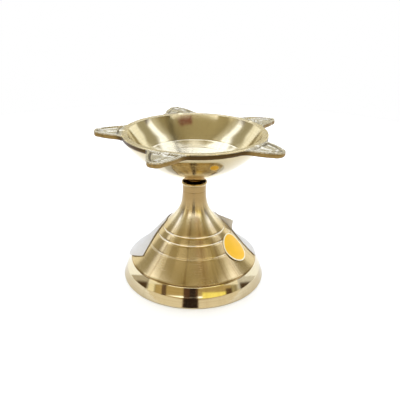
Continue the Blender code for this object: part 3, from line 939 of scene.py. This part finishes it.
def make_label(white, glue_side_painted_light):
    """A strip of paper round the back of the cone, its right upper corner peeling off."""
    rows, columns = np.linspace(0, 1, LABEL_ROWS), np.linspace(0, 1, LABEL_COLUMNS)
    down, across = np.meshgrid(rows, columns, indexing="ij")
    edges = []
    for edge in (LABEL_TOP, LABEL_BOTTOM):
        shares, angles, slants = np.array(edge).T
        along = np.interp(across, shares, angles), np.interp(across, shares, slants)
        edges.append(np.stack(along, axis=-1))
    place = edges[0] + (edges[1] - edges[0]) * down[..., None]
    ripple = RIPPLE * np.sin(across * 19 + down * 3) * np.sin(down * 5 + across * 7)
    peel = np.clip((across - (1 - PEEL_LENGTH)) / PEEL_LENGTH, 0, 1) ** 1.3
    peel = peel * np.clip(1 - down / PEEL_WIDTH, 0, 1) ** 1.2
    corner = np.exp(-(((across - 0.12) / 0.08) ** 2)) * smoothstep(0.8, 1.0, down)
    over_neck = smoothstep(0.0, -0.8 * MM, place[..., 1])
    lift = np.maximum(LABEL_OFF_CONE + ripple, LABEL_NEAREST) + PEEL_HEIGHT * peel
    lift = lift + CORNER_LIFT * corner + NECK_LIFT * over_neck
    angle = np.radians(place[..., 0])
    back = on_cone(angle, place[..., 1], lift)
    face = on_cone(angle, place[..., 1], lift + PAPER_THICKNESS)
    label = sheet_mesh("label", face, back)
    label.data.materials.append(white)
    label.data.materials.append(glue_side_painted_light)
    count = (LABEL_ROWS - 1) * (LABEL_COLUMNS - 1)
    numbers = np.zeros(len(label.data.polygons), np.int32)
    numbers[count : 2 * count] = 1
    label.data.polygons.foreach_set("material_index", numbers)
    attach(label, "stand")
    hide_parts("paper_label")


# ---- Studio -------------------------------------------------------------------------------
def make_camera():
    camera = bpy.data.objects.new("camera", bpy.data.cameras.new("camera"))
    bpy.context.scene.collection.objects.link(camera)
    turn = Euler((0, 0, math.radians(-CAMERA_YAW))).to_matrix()
    tilt = Euler((math.radians(90 - CAMERA_PITCH), 0, 0)).to_matrix()
    roll = Euler((0, 0, math.radians(CAMERA_ROLL))).to_matrix()
    camera.matrix_world = (turn @ tilt @ roll).to_4x4()
    camera.location = CAMERA_PLACE
    camera.data.lens = CAMERA_LENS
    camera.data.sensor_width = SENSOR_WIDTH
    camera.data.clip_start = 0.01
    bpy.context.scene.camera = camera


def make_floor():
    """A round sheet of pale paper under the lamp."""
    edge = turned_ring(FLOOR_RADIUS, 0.0, 96)
    mesh = bpy.data.meshes.new("floor")
    mesh.from_pydata(edge.tolist(), [], [list(range(len(edge)))])
    floor = bpy.data.objects.new("floor", mesh)
    bpy.context.scene.collection.objects.link(floor)
    floor.location.z = -0.02 * MM
    material, shader = new_material("floor paper")
    surface = shader.add("ShaderNodeBsdfPrincipled", None, Roughness=0.8)
    surface.inputs["Base Color"].default_value = FLOOR_COLOUR
    surface.inputs["Specular IOR Level"].default_value = 0.2
    finish_material(shader, surface.outputs["BSDF"])
    mesh.materials.append(material)


FILL_COLOUR = (0.93, 0.96, 1.0)
FOLD_COLOUR = (0.1, 0.07, 0.03)  # dark upright folds at the sides of the room

# The room that the brass mirrors. The front, the sides with the back, and the ceiling:
ROOM_FRONT, ROOM_SIDES, ROOM_TOP = (0.54, 0.46, 0.26), (0.98, 0.94, 0.76), (1.5, 1.5, 1.5)
# Then softboxes, screens and darker things in it: azimuth (0 is the front, positive to the right),
# elevation, half width, half height and softness, all in degrees, and colour
SURROUNDINGS = (
    (180, 60, 72, 20, 10, (2.0, 2.15, 2.6)),  # large softbox behind
    (-112, 4, 32, 10, 6, (0.62, 0.56, 0.46)),
    (112, 4, 32, 10, 6, (0.88, 0.86, 0.84)),
    (-118, 28, 11, 13, 7, (0.50, 0.46, 0.32)),
    (120, 28, 11, 13, 7, (0.50, 0.46, 0.32)),
    (-138, 12, 10, 10, 6, (1.4, 1.4, 1.3)),
    (138, 12, 10, 10, 6, (1.4, 1.4, 1.3)),
    (-97, 38, 4, 14, 4, (2.1, 2.2, 2.5)),  # tall softboxes at the left and the right
    (-104, 60, 5, 12, 5, (2.1, 2.2, 2.5)),
    (97, 38, 4, 14, 4, (2.1, 2.2, 2.5)),
    (105, 60, 5, 12, 5, (2.1, 2.2, 2.5)),
    (0, 15, 62, 11, 4, (0.62, 0.46, 0.20)),  # warm wood and cloth low in front
    (2, 32, 46, 4, 3, (2.6, 2.6, 2.5)),  # pale strip above them
    (0, 2, 78, 6, 1, (1.25, 1.18, 1.0)),  # and a pale table top
    (36, 25, 20, 5, 2, (1.45, 1.25, 0.34)),
    (-92, 16, 9, 7, 5, (0.10, 0.06, 0.03)),
    (93, 16, 9, 7, 5, (0.10, 0.06, 0.03)),
    (60, 22, 4, 7, 3, (0.14, 0.08, 0.04)),
    (-49, 18, 3, 9, 2, (0.18, 0.11, 0.06)),
    (-72, 20, 4, 10, 3, (1.2, 1.1, 0.8)),
    (-4, 12, 11, 18, 2, (0.12, 0.06, 0.035)),  # dark things in the middle
    (-4, 4, 9, 6, 2, (0.03, 0.02, 0.015)),
    (-1, 3, 4, 27, 2, (0.04, 0.025, 0.02)),
    (22, 46, 14, 5, 3, (0.30, 0.12, 0.085)),  # pinkish patch
)


def make_fill_light():
    """Soft light from above for the floor and the paper; the brass doesn't mirror it."""
    lamp = bpy.data.lights.new("fill light", "AREA")
    lamp.size = FILL_SIZE
    lamp.energy = FILL_ENERGY
    lamp.color = FILL_COLOUR
    fill = bpy.data.objects.new("fill light", lamp)
    bpy.context.scene.collection.objects.link(fill)
    fill.location.z = FILL_HEIGHT
    fill.visible_glossy = False


def make_world():
    """A bright, plain room with softboxes and a few darker things; the camera itself sees white."""
    world = bpy.data.worlds.new("studio")
    bpy.context.scene.world = world
    world.use_nodes = True
    shader = Shader(world.node_tree)
    direction = shader.add("ShaderNodeTexCoord").outputs["Generated"]
    x, y, z = shader.split(direction)
    azimuth = shader.maths("ARCTAN2", x, shader.maths("MULTIPLY", y, -1.0))
    elevation = shader.maths("ARCSINE", z)
    turned_away = shader.maths("ABSOLUTE", azimuth)
    at_side = shader.ramp_between(turned_away, math.radians(68), math.radians(88))
    tone = shader.mix(at_side, ROOM_FRONT, ROOM_SIDES)
    folds = shader.ramp_between(shader.noise_line(azimuth, 13.0), 0.38, 0.62, 0.35, 0.0)
    where = shader.ramp_between(turned_away, math.radians(48), math.radians(75))
    folds = shader.maths("MULTIPLY", folds, where)
    tone = shader.mix(folds, tone, FOLD_COLOUR)
    overhead = shader.ramp_between(elevation, math.radians(75), math.radians(88))
    tone = shader.mix(overhead, tone, ROOM_TOP)
    for middle, height, half_width, half_height, soft, colour in SURROUNDINGS:
        turned = shader.maths("SUBTRACT", azimuth, math.radians(middle))
        aside = shader.maths("ABSOLUTE", shader.maths("WRAP", turned, math.pi, -math.pi))
        above = shader.maths("SUBTRACT", elevation, math.radians(height))
        above = shader.maths("ABSOLUTE", above)
        wide, high, soft = (math.radians(size) for size in (half_width, half_height, soft))
        inside = shader.ramp_between(aside, wide, wide + soft, 1.0, 0.0)
        within = shader.ramp_between(above, high, high + soft, 1.0, 0.0)
        tone = shader.mix(shader.maths("MULTIPLY", inside, within), tone, colour)
    seen = shader.add("ShaderNodeLightPath").outputs["Is Camera Ray"]
    tone = shader.mix(seen, tone, (1.0, 1.0, 1.0))
    background = shader.add("ShaderNodeBackground", None, Color=tone, Strength=1.0)
    output = shader.add("ShaderNodeOutputWorld")
    shader.plug(output.inputs["Surface"], background.outputs["Background"])


def main():
    make_camera()
    # Roughness, depth of the lathe lines, anisotropy, stain, streak
    cone_brass = turned_brass(
        "stand cone brass", STAND_SLOPES, BRASS_CONE, 0.21, 0.007 * MM, 0.9, 0.2, 0.55
    )
    band_brass = turned_brass(
        "stand band brass", STAND_SLOPES, BRASS, 0.06, 0.003 * MM, 0.0, 0.1, 0.15
    )
    inside_brass = turned_brass(
        "bowl inside brass", BOWL_SLOPES, BRASS, 0.12, 0.001 * MM, 0.35, 0.3, 0.12
    )
    # The underside, with painted reflections of the stand and the floor
    underside_painted_reflection_brass = turned_brass(
        "bowl underside brass with painted reflections", BOWL_SLOPES, UNDERSIDE_PAINTED_GOLD_REFLECTION, 0.06, 0.004 * MM, 0.0, 0.1,
        painted_pale=UNDERSIDE_PAINTED_FLOOR_REFLECTION,
    )
    # Roughness, depth of the grain, stain
    cast = cast_brass("cast brass", BRASS_PALE, 0.27, 0.09 * MM, 0.35)
    # The rim's side, with painted shade
    band = cast_brass("cast brass rim with painted shade", RIM_BROWN_AND_PAINTED_SHADE, 0.36, 0.09 * MM, 0.9)
    # The recess, with painted shade
    recess = cast_brass("recess brass with painted shade", RECESS_PAINTED_SHADE, 0.5, 0.05 * MM, 0.6)
    hollow = cast_brass("hollow brass", BRASS, 0.45, 0.08 * MM, 0.4)
    steel = cast_brass("stud steel", STEEL, 0.3, 0.01 * MM, 0.1)
    # Colour, its edge's colour, roughness, depth of the fibres, share of light let through
    yellow = paper("sticker paper", YELLOW, STICKER_BORDER, 0.45, 0.01 * MM)
    white = paper("label paper", LABEL_WHITE, LABEL_EDGE, 0.75, 0.02 * MM, 0.3)
    # The glue side's colour holds painted light
    glue_side_painted_light = paper("label glue side with painted light", GLUE_WITH_PAINTED_LIGHT, GLUE_EDGE_WITH_PAINTED_LIGHT, 0.7, 0.02 * MM, 0.6)

    make_bowl(inside_brass, cast, band, underside_painted_reflection_brass)
    make_stand(cone_brass, band_brass, hollow, recess)
    make_stud(steel)
    make_sticker(yellow)
    make_label(white, glue_side_painted_light)
    make_floor()
    make_fill_light()
    make_world()
    bpy.context.scene.view_settings.view_transform = "Standard"


main()
